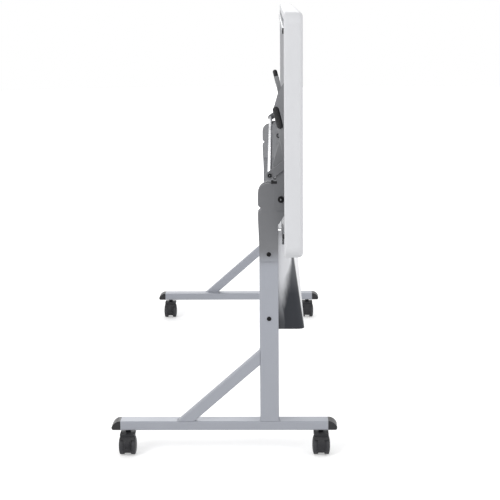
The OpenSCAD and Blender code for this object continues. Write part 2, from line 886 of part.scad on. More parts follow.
// Hood of a twin wheel caster: a top plate, a fender, an apron behind, a web and a boss
module caster_hood() {
  difference() {
    union() {
      translate([0, 0, plate_low])
        linear_extrude(plate_t)
          soft_rect([-plate_half, plate_front], [plate_half, trail + 13], 4);
      arch(2 * plate_half - 2, trail - caster_span, fender_low);
      arch(apron_w, trail, apron_low);
      arch(apron_w, trail - caster_span, apron_back);
      intersection() {
        rod_x(trail, wheel_r, wheel_r + hood_gap + hood_t, web_w);
        translate([-caster_span, trail - caster_span, wheel_r - boss_r])
          cube([2 * caster_span, 2 * caster_span, caster_span]);
      }
      cylinder_z(boss_r, wheel_r + 4, boss_top);
    }
    cylinder_z(stem_r + fit, boss_top - stem_grip - 1, boss_top + 1);
    rod_x(trail, wheel_r, axle_r + fit, web_w + 2);
    for (side = [-1, 1])
      translate([side * (web_w / 2 + plate_half), 0, 0])
        rod_x(trail, wheel_r, wheel_r + wheel_clear, 2 * plate_half);
  }
}

module caster_axle() {
  rod_x(trail, wheel_r, axle_r, wheel_gap + 2 * wheel_w - 2 * axle_inset);
}

// Profile of one wheel with X outward from the axle and Y from the inner face
module wheel_profile() {
  polygon([
    [axle_r, 0], [10, 0], [10, 1], [wheel_r - 4, 1], [wheel_r - 3, 0], [wheel_r - 1, 0],
    [wheel_r, 1.5], [wheel_r, wheel_w - 4.5], [wheel_r - 0.7, wheel_w - 3.3],
    [wheel_r - 2.2, wheel_w - 2.4], [wheel_r - 6, wheel_w - 1.5], [wheel_r - 11, wheel_w - 0.6],
    [9, wheel_w], [0, wheel_w], [0, wheel_w - axle_inset], [axle_r, wheel_w - axle_inset]
  ]);
}

module caster_wheels() {
  for (side = [-1, 1])
    translate([side * wheel_gap / 2, trail, wheel_r])
      rotate([0, side * 90, 0])
        rotate_extrude() wheel_profile();
}

// Foot pedal on the apron: a curved shoe and a toe plate at its lower end
module caster_pedal() {
  shoe_r = wheel_r + hood_gap + hood_t + seat_gap;
  reach = 2 * shoe_r;
  translate([0, trail, wheel_r]) {
    intersection() {
      difference() {
        rod_x(0, 0, shoe_r + pedal_t, pedal_w);
        rod_x(0, 0, shoe_r, pedal_w + 2);
      }
      rotate([90, 0, 90])
        translate([0, 0, -pedal_w / 2])
          linear_extrude(pedal_w)
            polygon([
              [0, 0], [reach * cos(pedal_arc[0]), reach * sin(pedal_arc[0])],
              [reach * cos(pedal_arc[1]), reach * sin(pedal_arc[1])]
            ]);
    }
    translate([-pedal_w / 2, shoe_r + 0.4, 0]) cube([pedal_w, pedal_toe, pedal_t]);
  }
}

// The four end caps, with the front and rear one of each foot facing outward
module foot_cap_group() {
  for (side = [RIGHT, LEFT])
    at_leg(side) {
      translate([foot_rear - cap_length, 0, foot_bottom]) foot_cap();
      translate([-foot_front + cap_length, 0, foot_bottom]) mirror([1, 0, 0]) foot_cap();
    }
}

module cheek_screw_group() {
  for (side = [RIGHT, LEFT], a = screw_places, outer = [true, false])
    folded_at(side) cheek_screw(a, outer);
}

echo(spring_gap = spring_gap);

color("#a9abb6") at_leg(RIGHT) column();  // column_right
color("#a9abb6") at_leg(RIGHT) foot();  // foot_right
color("#a9abb6") at_leg(RIGHT) brace();  // brace_right
color("#77787a") at_leg(RIGHT) head_plate(head_outer_y, outer_skirt_z);  // head_plate_right_outer
color("#77787a") at_leg(RIGHT) head_plate(column_d, inner_skirt_z);  // head_plate_right_inner
color("#77787a") folded_at(RIGHT) hinge_cheek(true);  // hinge_cheek_right_outer
color("#77787a") folded_at(RIGHT) hinge_cheek(false);  // hinge_cheek_right_inner
color("#8c8d90") folded_at(RIGHT) cross_channel();  // cross_channel_right
color("#2c2c2f") folded_at(RIGHT) pivot_bolt();  // pivot_bolt_right
color("#77787a") folded_at(RIGHT) crank_body();  // crank_right
color("#c8c8cc") folded_at(RIGHT) crank_spring();  // crank_spring_right
color("#2c2c2f") folded_at(RIGHT) grip_body();  // grip_right
color("#a9abb6") at_leg(LEFT) column();  // column_left
color("#a9abb6") at_leg(LEFT) foot();  // foot_left
color("#a9abb6") at_leg(LEFT) brace();  // brace_left
color("#77787a") at_leg(LEFT) head_plate(head_outer_y, outer_skirt_z);  // head_plate_left_outer
color("#77787a") at_leg(LEFT) head_plate(column_d, inner_skirt_z);  // head_plate_left_inner
color("#77787a") folded_at(LEFT) hinge_cheek(true);  // hinge_cheek_left_outer
color("#77787a") folded_at(LEFT) hinge_cheek(false);  // hinge_cheek_left_inner
color("#8c8d90") folded_at(LEFT) cross_channel();  // cross_channel_left
color("#2c2c2f") folded_at(LEFT) pivot_bolt();  // pivot_bolt_left
color("#77787a") folded_at(LEFT) crank_body();  // crank_left
color("#c8c8cc") folded_at(LEFT) crank_spring();  // crank_spring_left
color("#2c2c2f") folded_at(LEFT) grip_body();  // grip_left
color("#3f3f44") foot_cap_group();  // foot_caps
color("#d8d4c8") for (side = [RIGHT, LEFT]) at_leg(side) pivot_bush();  // pivot_bushes
color("#c9cacf") translate([column_x, 0, 0]) modesty_panel_body();  // modesty_panel
color("#2c2c2f") for (side = [RIGHT, LEFT], z = panel_bolt_z) at_leg(side) panel_bolt(z);  // panel_bolts
color("#2c2c2f") for (side = [RIGHT, LEFT], z = panel_bolt_z) at_leg(side) panel_nut(z);  // panel_nuts
color("#dadbdd") folded() worktop_body();  // worktop
color("#47464a") folded() liner_body();  // underside_liner
color("#d0d1d4") folded() apron_rail(FRONT);  // apron_rail_front
color("#d0d1d4") folded() apron_rail(REAR);  // apron_rail_rear
color("#2c2c2f") for (row = [FRONT, REAR], side = [RIGHT, LEFT]) folded() rail_plug(row, side);  // rail_plugs
color("#2c2c2f") cheek_screw_group();  // cheek_screws
color("#2c2c2f") for (side = [RIGHT, LEFT]) folded_at(side) pivot_nut();  // pivot_nuts
color("#2c2c2f") for (side = [RIGHT, LEFT]) folded_at(side) latch_bumper();  // latch_bumpers
color("#9a9a9e") for (side = [RIGHT, LEFT]) folded_at(side) crank_pin_body();  // crank_pins
color("#e4e5e8") folded() latch_bar_body();  // latch_bar
color("#2c2c2f") for (side = [RIGHT, LEFT]) folded_at(side) bar_bolt();  // bar_bolts
color("#9a9a9e") at_caster(FRONT, RIGHT) caster_stem();  // caster_front_right_stem
color("#3f3f44") at_caster(FRONT, RIGHT) caster_hood();  // caster_front_right_hood
color("#9a9a9e") at_caster(FRONT, RIGHT) caster_axle();  // caster_front_right_axle
color("#3f3f44") at_caster(FRONT, RIGHT) caster_wheels();  // caster_front_right_wheels
color("#3f3f44") at_caster(FRONT, RIGHT) caster_pedal();  // caster_front_right_pedal
color("#9a9a9e") at_caster(FRONT, LEFT) caster_stem();  // caster_front_left_stem
color("#3f3f44") at_caster(FRONT, LEFT) caster_hood();  // caster_front_left_hood
color("#9a9a9e") at_caster(FRONT, LEFT) caster_axle();  // caster_front_left_axle
color("#3f3f44") at_caster(FRONT, LEFT) caster_wheels();  // caster_front_left_wheels
color("#3f3f44") at_caster(FRONT, LEFT) caster_pedal();  // caster_front_left_pedal
color("#9a9a9e") at_caster(REAR, RIGHT) caster_stem();  // caster_rear_right_stem
color("#3f3f44") at_caster(REAR, RIGHT) caster_hood();  // caster_rear_right_hood
color("#9a9a9e") at_caster(REAR, RIGHT) caster_axle();  // caster_rear_right_axle
color("#3f3f44") at_caster(REAR, RIGHT) caster_wheels();  // caster_rear_right_wheels
color("#9a9a9e") at_caster(REAR, LEFT) caster_stem();  // caster_rear_left_stem
color("#3f3f44") at_caster(REAR, LEFT) caster_hood();  // caster_rear_left_hood
color("#9a9a9e") at_caster(REAR, LEFT) caster_axle();  // caster_rear_left_axle
color("#3f3f44") at_caster(REAR, LEFT) caster_wheels();  // caster_rear_left_wheels
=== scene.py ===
import json
import math

import bmesh
import bpy
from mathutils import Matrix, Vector

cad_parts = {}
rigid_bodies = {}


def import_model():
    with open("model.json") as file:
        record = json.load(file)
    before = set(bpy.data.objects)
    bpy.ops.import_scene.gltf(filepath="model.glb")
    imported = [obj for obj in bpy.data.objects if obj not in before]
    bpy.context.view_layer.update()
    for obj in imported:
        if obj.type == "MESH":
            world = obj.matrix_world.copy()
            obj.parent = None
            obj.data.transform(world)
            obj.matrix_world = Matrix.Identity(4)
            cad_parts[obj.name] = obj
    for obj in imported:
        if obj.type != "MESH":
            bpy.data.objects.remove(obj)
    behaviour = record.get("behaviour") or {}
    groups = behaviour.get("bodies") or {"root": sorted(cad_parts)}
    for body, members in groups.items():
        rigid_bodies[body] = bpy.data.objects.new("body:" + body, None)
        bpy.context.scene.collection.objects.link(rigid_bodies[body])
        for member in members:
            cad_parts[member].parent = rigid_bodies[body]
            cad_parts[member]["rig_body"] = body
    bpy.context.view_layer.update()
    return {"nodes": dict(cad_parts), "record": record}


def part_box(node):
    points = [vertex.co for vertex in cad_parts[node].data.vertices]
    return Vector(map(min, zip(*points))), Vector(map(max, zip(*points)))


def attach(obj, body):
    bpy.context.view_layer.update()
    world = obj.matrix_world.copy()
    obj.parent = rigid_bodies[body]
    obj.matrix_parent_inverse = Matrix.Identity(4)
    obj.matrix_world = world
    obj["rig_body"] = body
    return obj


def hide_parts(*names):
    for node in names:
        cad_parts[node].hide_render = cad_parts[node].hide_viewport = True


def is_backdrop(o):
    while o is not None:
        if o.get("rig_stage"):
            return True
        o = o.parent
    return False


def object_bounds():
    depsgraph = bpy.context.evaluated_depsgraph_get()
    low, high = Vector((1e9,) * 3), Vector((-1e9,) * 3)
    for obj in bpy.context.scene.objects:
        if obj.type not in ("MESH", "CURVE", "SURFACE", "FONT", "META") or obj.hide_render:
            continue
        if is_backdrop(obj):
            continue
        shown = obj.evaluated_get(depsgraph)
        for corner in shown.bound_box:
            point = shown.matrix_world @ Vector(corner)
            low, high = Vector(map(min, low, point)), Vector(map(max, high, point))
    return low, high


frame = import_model()

MM = 0.001
SIDES = {"right": -1, "left": 1}
ROWS = ("front", "rear")

# Places that the part's source works out, in millimetres
COLUMN_X = 97.5
COLUMN_W = 50.0
COLUMN_D = 30.0
LEG_OUTER = 732.0
FOOT_TOP = 91.0
HEAD_FACE = -4.0
PIVOT_X = 155.0
PIVOT_Z = 696.0
CHEEK_FACE = -8.5
CHEEK_SCREW_INSET = 16.0
CRANK_FACE = -13.0
CRANK_T = 4.0
CRANK_PIN = (-97.0, 17.5)
LINER_FACE = 44.0
FLANGE_T = 3.0
SCREW_ROWS = (-205.0, -95.0, 35.0)
PANEL_BOLT_X = 25.0
PANEL_BOLTS = ((374.0, 0.0), (549.0, HEAD_FACE))
GRIP_LOW = (-180.0, 1.5)
GRIP_LEAN = math.radians(14)
GRIP_START = 6.0
GRIP_LENGTH = 59.0
GRIP_HOOD = 27.0
GRIP_R = 8.5
BRACE_REACH = 223.0
BRACE_W = 30.0
BRACE_D = 20.0
BRACE_ANGLE = math.radians(41.3)
WHEEL_GAP = 17.0
SPRING_R = 6.2
SPRING_WIRE_R = 0.69
SPRING_PITCH = 2.2
SPRING_TURNS = 4
SPRING_Y = -14.3

# X and Z of the panel's bends at their lower and upper end, beside which a painted dark
# # reflection darkens the wings, and the height between which the painted dark reflection at the
# # top of the columns and head plates fades into the legs' silver, all in metres
WING_LOW = (0.2155, 0.338)
WING_HIGH = (0.1835, 0.563)
FADE_LOW = 0.508
FADE_HIGH = 0.568


def leg_point(side, x, y, z):
    """X from the column's front face, Y inward from its outer face, Z from the floor."""
    return Vector((COLUMN_X + x, side * (LEG_OUTER - y), z)) * MM


def top_point(side, a, y, h):
    """A and H are depth and height from the pivot with the tabletop open; it is folded here."""
    return Vector((PIVOT_X + h, side * (LEG_OUTER - y), PIVOT_Z - a)) * MM


# Camera

CAMERA_PLACE = (137.5, -3941.1, 1237.5)
CAMERA_DOWN = math.radians(8.47)
CAMERA_TURN = math.radians(1.12)
CAMERA_ROLL = math.radians(0.45)
CAMERA_SHIFT = -0.15
FOCAL_PIXELS = 1246.0
PICTURE_PIXELS = 500.0
SENSOR = 36.0


def add_camera():
    data = bpy.data.cameras.new("photo_view")
    data.sensor_width = SENSOR
    data.sensor_fit = "AUTO"
    data.lens = FOCAL_PIXELS / PICTURE_PIXELS * SENSOR
    data.shift_y = CAMERA_SHIFT
    camera = bpy.data.objects.new("photo_view", data)
    bpy.context.scene.collection.objects.link(camera)
    sin_t, cos_t = math.sin(CAMERA_TURN), math.cos(CAMERA_TURN)
    sin_d, cos_d = math.sin(CAMERA_DOWN), math.cos(CAMERA_DOWN)
    sin_r, cos_r = math.sin(CAMERA_ROLL), math.cos(CAMERA_ROLL)
    ahead = Vector((-sin_t * cos_d, cos_t * cos_d, -sin_d))
    right = Vector((cos_t, sin_t, 0))
    up = Vector((-sin_t * sin_d, cos_t * sin_d, cos_d))
    turned_right = right * cos_r - up * sin_r
    turned_up = right * sin_r + up * cos_r
    place = camera.matrix_world.copy()
    for row in range(3):
        place[row][0] = turned_right[row]
        place[row][1] = turned_up[row]
        place[row][2] = -ahead[row]
        place[row][3] = CAMERA_PLACE[row] * MM
    camera.matrix_world = place
    bpy.context.scene.camera = camera


add_camera()
bpy.context.scene.view_settings.view_transform = "Standard"


# Nodes of materials


def tint(red, green, blue):
    """A colour given as 0 to 255, as a linear colour."""
    parts = []
    for value in (red, green, blue):
        c = value / 255
        parts.append(c / 12.92 if c <= 0.04045 else ((c + 0.055) / 1.055) ** 2.4)
    return (*parts, 1.0)


def add_node(tree, kind, inputs=None, **settings):
    """Adds a node; an input given as a socket is linked, any other is set."""
    node = tree.nodes.new(kind)
    for key, value in settings.items():
        setattr(node, key, value)
    for key, value in (inputs or {}).items():
        if isinstance(value, bpy.types.NodeSocket):
            tree.links.new(value, node.inputs[key])
        else:
            node.inputs[key].default_value = value
    return node


def maths(tree, operation, *values, clamp=False):
    """The result of a maths node on numbers or sockets."""
    return add_node(tree, "ShaderNodeMath", dict(enumerate(values)), operation=operation,
                    use_clamp=clamp).outputs[0]


def ranged(tree, value, low, high, to_low=0.0, to_high=1.0, smooth=False, clamp=True):
    """A value carried from the range low to high into another."""
    return add_node(tree, "ShaderNodeMapRange",
                    {"Value": value, "From Min": low, "From Max": high, "To Min": to_low,
                     "To Max": to_high}, clamp=clamp,
                    interpolation_type="SMOOTHSTEP" if smooth else "LINEAR").outputs[0]


def noise(tree, place, scale, detail, roughness):
    return add_node(tree, "ShaderNodeTexNoise", {"Vector": place, "Scale": scale, "Detail": detail,
                    "Roughness": roughness}).outputs["Fac"]


def stretched(tree, place, factors):
    return add_node(tree, "ShaderNodeVectorMath", {0: place, 1: factors},
                    operation="MULTIPLY").outputs[0]


def split(tree, vector):
    return add_node(tree, "ShaderNodeSeparateXYZ", {0: vector}).outputs


def mixed(tree, mask, colour, second):
    """A colour that is taken over by a second one where the mask is high."""
    return add_node(tree, "ShaderNodeMix", {"Factor": mask, 6: colour, 7: second},
                    data_type="RGBA").outputs[2]


def new_group(name, inputs, outputs=("Mask",)):
    """An empty group of shader nodes. inputs holds names and defaults, None for a plain vector."""
    group = bpy.data.node_groups.new(name, "ShaderNodeTree")
    for socket, value in inputs.items():
        kind = "NodeSocketFloat" if isinstance(value, float) else "NodeSocketVector"
        made = group.interface.new_socket(socket, in_out="INPUT", socket_type=kind)
        if value is not None:
            made.default_value = value
    for socket in outputs:
        group.interface.new_socket(socket, in_out="OUTPUT", socket_type="NodeSocketFloat")
    return group, group.nodes.new("NodeGroupInput").outputs, group.nodes.new("NodeGroupOutput")


def place_group(tree, group, inputs):
    return add_node(tree, "ShaderNodeGroup", inputs, node_tree=group).outputs


def build_grain():
    """Fine relief of a coat or a moulding: a height, and slow blotches of tone."""
    blotches_per_metre = 7.0
    group, given, end = new_group(
        "coat_grain", {"Place": None, "Size": 1.0, "Stretch": (1.0, 1.0, 1.0)}, ("Height", "Tone"))
    pulled = stretched(group, given["Place"], given["Stretch"])
    grains_per_metre = maths(group, "DIVIDE", 1 / MM, given["Size"])
    fine = noise(group, pulled, grains_per_metre, 3.0, 0.6)
    slow = noise(group, given["Place"], blotches_per_metre, 4.0, 0.55)
    group.links.new(fine, end.inputs["Height"])
    group.links.new(slow, end.inputs["Tone"])
    return group


def build_wear_and_highlight():
    """Lighter edges, partly from use and partly painted edge highlights: a mask that is high at
    outer edges, broken up by noise.
    """
    edge_cosines = (0.99, 0.8)
    patches_per_metre, patch_range, least_patch = 160.0, (0.42, 0.62), 0.15
    group, given, end = new_group("edge_wear_and_highlight", {"Place": None, "Reach": 0.001, "Amount": 0.5})
    round_edge = add_node(group, "ShaderNodeBevel", {"Radius": given["Reach"]}, samples=4)
    surface = add_node(group, "ShaderNodeNewGeometry")
    same = add_node(group, "ShaderNodeVectorMath", {0: round_edge.outputs[0],
                    1: surface.outputs["Normal"]}, operation="DOT_PRODUCT")
    edge = ranged(group, same.outputs["Value"], *edge_cosines)
    patches = noise(group, given["Place"], patches_per_metre, 3.0, 0.7)
    broken = ranged(group, patches, *patch_range, least_patch)
    both = maths(group, "MULTIPLY", edge, broken)
    group.links.new(maths(group, "MULTIPLY", both, given["Amount"], clamp=True),
                    end.inputs["Mask"])
    return group


def build_dust():
    """Dust that settles on faces that look up in the folded table."""
    upward_range = (0.35, 1.0)
    drifts_per_metre, drift_range, least_drift = 45.0, (0.35, 0.7), 0.2
    group, given, end = new_group("settled_dust", {"Place": None, "Facing": None, "Amount": 0.2})
    upward = ranged(group, split(group, given["Facing"])["Z"], *upward_range)
    drifts = noise(group, given["Place"], drifts_per_metre, 6.0, 0.7)
    drifted = ranged(group, drifts, *drift_range, least_drift)
    both = maths(group, "MULTIPLY", upward, drifted)
    group.links.new(maths(group, "MULTIPLY", both, given["Amount"], clamp=True),
                    end.inputs["Mask"])
    return group


def build_height_fade():
    """A colour that takes over above a soft border in height; on the columns and head plates it is
    a painted dark reflection. When Sides is 1 the upper colour lies on the faces that look along
    the table, thinner on those that look inward."""
    outer_range, inner_range, inner_share = (0.25, 0.6), (-0.25, -0.6), 0.6
    group, given, end = new_group("height_fade", {"Place": None, "Facing": None, "Low": 0.0,
                                                "High": 1.0, "Sides": 0.0})
    spot = split(group, given["Place"])
    height = ranged(group, spot["Z"], given["Low"], given["High"], smooth=True)
    along = maths(group, "MULTIPLY", spot["Y"], split(group, given["Facing"])["Y"])
    outer = ranged(group, along, *outer_range)
    inner = ranged(group, along, *inner_range, 0.0, inner_share)
    sides = maths(group, "MAXIMUM", outer, inner)
    rest = maths(group, "SUBTRACT", 1.0, given["Sides"])
    share = maths(group, "MAXIMUM", sides, rest)
    group.links.new(maths(group, "MULTIPLY", height, share, clamp=True), end.inputs["Mask"])
    return group


def build_bend_reflection_and_shade():
    """A painted dark reflection on a panel wing beside its leaning bend, wider toward the floor
    and darker low down, and painted shade on its inner side where it meets the inner head plate."""
    wing_heights = (WING_LOW[1], WING_HIGH[1])
    streak_width, streak_depth, streak_border = (0.066, 0.002), (1.15, 0.8), (1.75, 0.75)
    cloud_stretch, clouds_per_metre, cloud_share = (1.0, 1.0, 0.3), 90.0, 0.4
    foot_heights, foot_depth = (0.49, 0.35), 0.95
    inner_heights, inner_depth = (0.47, 0.53), 0.6
    outward_range, inward_range = (0.04, 0.4), (-0.5, -0.9)
    group, given, end = new_group("bend_reflection_and_shade", {"Place": None, "Facing": None})
    spot = split(group, given["Place"])
    edge = ranged(group, spot["Z"], *wing_heights, WING_LOW[0], WING_HIGH[0], clamp=False)
    width = ranged(group, spot["Z"], *wing_heights, *streak_width, smooth=True)
    share = maths(group, "DIVIDE", maths(group, "SUBTRACT", edge, spot["X"]), width)
    drawn = stretched(group, given["Place"], cloud_stretch)
    cloud = noise(group, drawn, clouds_per_metre, 2.0, 0.5)
    ragged = maths(group, "MULTIPLY_ADD", cloud, cloud_share, share)
    soft = ranged(group, ragged, *streak_border, smooth=True)
    depth = ranged(group, spot["Z"], *wing_heights, *streak_depth)
    streak = maths(group, "MULTIPLY", soft, depth)
    foot = ranged(group, spot["Z"], *foot_heights, 0.0, foot_depth, smooth=True)
    hand = maths(group, "SIGN", spot["Y"])
    facing = maths(group, "MULTIPLY", split(group, given["Facing"])["Y"], hand)
    outward = ranged(group, facing, *outward_range)
    outer = maths(group, "MULTIPLY", maths(group, "MAXIMUM", streak, foot), outward)
    inward = ranged(group, facing, *inward_range, 0.0, inner_depth)
    behind = ranged(group, spot["Z"], *inner_heights, smooth=True)
    inner = maths(group, "MULTIPLY", inward, behind)
    group.links.new(maths(group, "MAXIMUM", outer, inner, clamp=True), end.inputs["Mask"])
    return group


grain_group = build_grain()
wear_and_highlight_group = build_wear_and_highlight()
dust_group = build_dust()
height_fade_group = build_height_fade()
bend_reflection_and_shade_group = build_bend_reflection_and_shade()
DUST_COLOUR = tint(196, 194, 190)
TONE_RANGE = (0.3, 0.7)
ROUGHNESS_SPREAD = 0.05
BUMP_STRENGTH = 0.6


def make_finish(name, colour, roughness, metallic=0.0, size=0.8, stretch=(1, 1, 1), relief=0.03,
                blotch=0.04, worn_and_lit=None, wear_and_highlight=0.0, reach=0.8, dust=0.15, shine=0.5, over=None,
                bend=None):
    """A finish with grain, slow tone changes, lighter edges that are partly from use and partly
    painted edge highlights, and dust, each at its own strength.

    size and reach are in millimetres, relief is the depth of the grain in millimetres. over is a
    colour that takes over above a soft border in height: its colour, low and high end of the
    border in metres, and 1 when it is on side faces only. bend is the colour of the painted dark
    reflection and painted shade beside the panel's bends."""
    material = bpy.data.materials.new(name)
    material.use_nodes = True
    tree = material.node_tree
    shader = tree.nodes["Principled BSDF"]
    place = add_node(tree, "ShaderNodeTexCoord").outputs
    spot = {"Place": place["Object"], "Facing": place["Normal"]}
    grain = place_group(tree, grain_group, {"Place": place["Object"], "Size": size,
                        "Stretch": stretch})
    darker = tuple(c * (1 - blotch) for c in colour[:3]) + (1.0,)
    lighter = tuple(min(c * (1 + blotch), 1.0) for c in colour[:3]) + (1.0,)
    last = mixed(tree, ranged(tree, grain["Tone"], *TONE_RANGE), darker, lighter)
    # Above a height: a painted dark reflection on columns and head plates, a lighter grey on
    # levers and cheeks
    if over:
        second, low, high, sides = over
        border = place_group(tree, height_fade_group, {**spot, "Low": low, "High": high,
                             "Sides": sides})
        last = mixed(tree, border[0], last, second)
    # Painted dark reflection and painted shade beside the panel's bends
    if bend:
        last = mixed(tree, place_group(tree, bend_reflection_and_shade_group, spot)[0], last, bend)
    if wear_and_highlight > 0:
        rubbed_and_lit = place_group(tree, wear_and_highlight_group, {"Place": place["Object"], "Reach": reach * MM,
                             "Amount": wear_and_highlight})
        last = mixed(tree, rubbed_and_lit[0], last, worn_and_lit)
    if dust > 0:
        settled = place_group(tree, dust_group, {**spot, "Amount": dust})
        last = mixed(tree, settled[0], last, DUST_COLOUR)
    tree.links.new(last, shader.inputs["Base Color"])
    tree.links.new(
        ranged(tree, grain["Tone"], *TONE_RANGE, max(roughness - ROUGHNESS_SPREAD, 0.03),
               min(roughness + ROUGHNESS_SPREAD, 1.0)), shader.inputs["Roughness"])
    bump = add_node(tree, "ShaderNodeBump", {"Height": grain["Height"],
                    "Strength": BUMP_STRENGTH, "Distance": relief * MM})
    tree.links.new(bump.outputs[0], shader.inputs["Normal"])
    shader.inputs["Metallic"].default_value = metallic
    shader.inputs["Specular IOR Level"].default_value = shine
    return material


LEG_COLOUR = tint(157, 160, 168)
# The brackets' grey, darkened by a painted dark reflection; the inner plates keep a lighter grey
BRACKET_AND_REFLECTION_GREY = tint(118, 119, 122)
LEG_COAT = dict(colour=LEG_COLOUR, roughness=0.42, metallic=0.25, size=0.6, relief=0.025,
                blotch=0.03, worn_and_lit=tint(198, 200, 206), wear_and_highlight=0.3, reach=0.8, dust=0.0)
# On the bracket coats the lighter edges are mostly painted edge highlights
BRACKET_COAT = dict(roughness=0.45, metallic=0.3, size=0.6, relief=0.03, blotch=0.05,
                    worn_and_lit=tint(184, 185, 188), reach=0.8)
finishes = {
    "leg_paint": make_finish("silver_powder_coat", **LEG_COAT),
    # Its grey holds a painted dark reflection
    "bracket_paint": make_finish("grey_bracket_coat", BRACKET_AND_REFLECTION_GREY, wear_and_highlight=0.7, dust=0.12,
                                 **BRACKET_COAT),
    # The panel's bend colour is a painted dark reflection beside its bends and painted shade by
    # the inner head plates
    "panel_paint": make_finish("panel_silver_coat", tint(200, 201, 204), 0.38, metallic=0.65,
                               size=1.2, relief=0.003, blotch=0.02, worn_and_lit=tint(220, 221, 224),
                               wear_and_highlight=0.3, reach=0.8, dust=0.05, bend=tint(44, 46, 51)),
    "worktop_shell": make_finish("moulded_worktop", tint(212, 213, 216), 0.5, size=0.45,
                                 relief=0.03, blotch=0.015, worn_and_lit=tint(232, 233, 235), wear_and_highlight=0.3,
                                 reach=1.5, dust=0.03),
    "underside": make_finish("dark_underside", tint(64, 64, 67), 0.75, size=1.4, relief=0.12,
                             blotch=0.08, dust=0.1),
    "rail_metal": make_finish("rail_grey_coat", tint(168, 170, 174), 0.4, metallic=0.35, size=0.7,
                              relief=0.02, worn_and_lit=tint(225, 226, 228), wear_and_highlight=0.4),
    "cap_plastic": make_finish("cap_moulding", tint(30, 30, 33), 0.36, size=0.35, relief=0.02,
                               blotch=0.06, worn_and_lit=tint(104, 104, 108), wear_and_highlight=0.5, reach=1.4,
                               dust=0.04, shine=0.4),
    "hood_plastic": make_finish("caster_hood_moulding", tint(31, 31, 35), 0.46, size=0.35,
                                relief=0.03, blotch=0.06, worn_and_lit=tint(84, 84, 88), wear_and_highlight=0.35,
                                reach=1.0, dust=0.06, shine=0.36),
    "wheel_plastic": make_finish("wheel_moulding", tint(29, 29, 33), 0.44, size=0.4, relief=0.02,
                                 blotch=0.08, worn_and_lit=tint(86, 85, 84), wear_and_highlight=0.3, reach=1.4,
                                 dust=0.05, shine=0.36),
    "black_steel": make_finish("black_oxide_steel", tint(14, 14, 16), 0.42, size=0.3,
                               relief=0.01, worn_and_lit=tint(84, 84, 86), wear_and_highlight=0.25, reach=0.4,
                               dust=0.02, shine=0.2),
    "bright_steel": make_finish("zinc_plate", tint(176, 177, 181), 0.32, metallic=0.9, size=0.35,
                                stretch=(1, 6, 1), relief=0.008, worn_and_lit=tint(220, 220, 222),
                                wear_and_highlight=0.3, reach=0.5, dust=0.04),
    "bar_chrome": make_finish("bright_plated_bar", tint(222, 223, 227), 0.18, metallic=0.95,
                              size=0.5, stretch=(4, 0.2, 4), relief=0.004, blotch=0.02,
                              dust=0.03),
    "grip_rubber": make_finish("grip_moulding", tint(34, 34, 36), 0.62, size=0.5, relief=0.06,
                               blotch=0.1, worn_and_lit=tint(74, 74, 77), wear_and_highlight=0.5, reach=1.0, dust=0.1),
    "bumper_rubber": make_finish("bumper_rubber", tint(28, 28, 30), 0.8, size=0.6, relief=0.05,
                                 blotch=0.1, dust=0.12),
    "bush_plastic": make_finish("nylon_bush", tint(208, 203, 190), 0.4, size=0.5, relief=0.01,
                                dust=0.05),
}
# Columns: a painted dark reflection at their tops, on the faces that look along the table
column_coat = make_finish("column_powder_coat", over=(BRACKET_AND_REFLECTION_GREY, FADE_LOW, FADE_HIGH, 1.0),
                          **LEG_COAT)
# Outer head plates: the legs' silver below, a painted dark reflection above FADE_LOW
head_coat = make_finish("head_plate_coat", LEG_COLOUR, wear_and_highlight=0.6, dust=0.08,
                        over=(BRACKET_AND_REFLECTION_GREY, FADE_LOW, FADE_HIGH, 0.0), **BRACKET_COAT)
# Inner plates and cheeks: a plain lighter grey, without the painted dark reflection of the outer
# ones
inner_coat = make_finish("inner_plate_coat", tint(154, 155, 158), wear_and_highlight=0.5, dust=0.05,
                         **BRACKET_COAT)
# Levers and outer cheeks: the grey with its painted dark reflection, a lighter grey above 0.78 m
lever_coat = make_finish("lever_and_cheek_coat", BRACKET_AND_REFLECTION_GREY, wear_and_highlight=0.7, dust=0.12,
                         over=(tint(160, 161, 163), 0.78, 0.94, 0.0), **BRACKET_COAT)
core_steel = make_finish("bolt_core_steel", tint(120, 121, 124), 0.5, metallic=0.4, size=0.35,
                         relief=0.01, worn_and_lit=tint(170, 171, 174), wear_and_highlight=0.3, reach=0.4, dust=0.04)
wheel_tread = make_finish("wheel_tread", tint(48, 48, 52), 0.66, size=0.7, relief=0.05,
                          blotch=0.12, dust=0.03, worn_and_lit=tint(92, 91, 89), wear_and_highlight=0.3, reach=1.6)

slot_of = {p["node"]: p["material_slot"] for p in frame["record"]["subparts"]}
for node_name, node_object in frame["nodes"].items():
    node_object.data.materials.clear()
    node_object.data.materials.append(finishes[slot_of[node_name]])


# Floor and light

WHITE = (1, 1, 1, 1)
FLOOR_R = 12.0
FLOOR_GREY = 0.86
SKY_STRENGTH = 0.62

# The floor's own light rises from one strength to the other between two distances in metres
FLOOR_LIFT = (0.36, 1.0)
LIFT_REACH = (1.2, 4.0)


def seen_directly(tree):
    """1 for rays from the camera and for what mirrors show, and all that is known of a ray."""
    path = add_node(tree, "ShaderNodeLightPath").outputs
    return maths(tree, "MAXIMUM", path["Is Camera Ray"], path["Is Glossy Ray"]), path


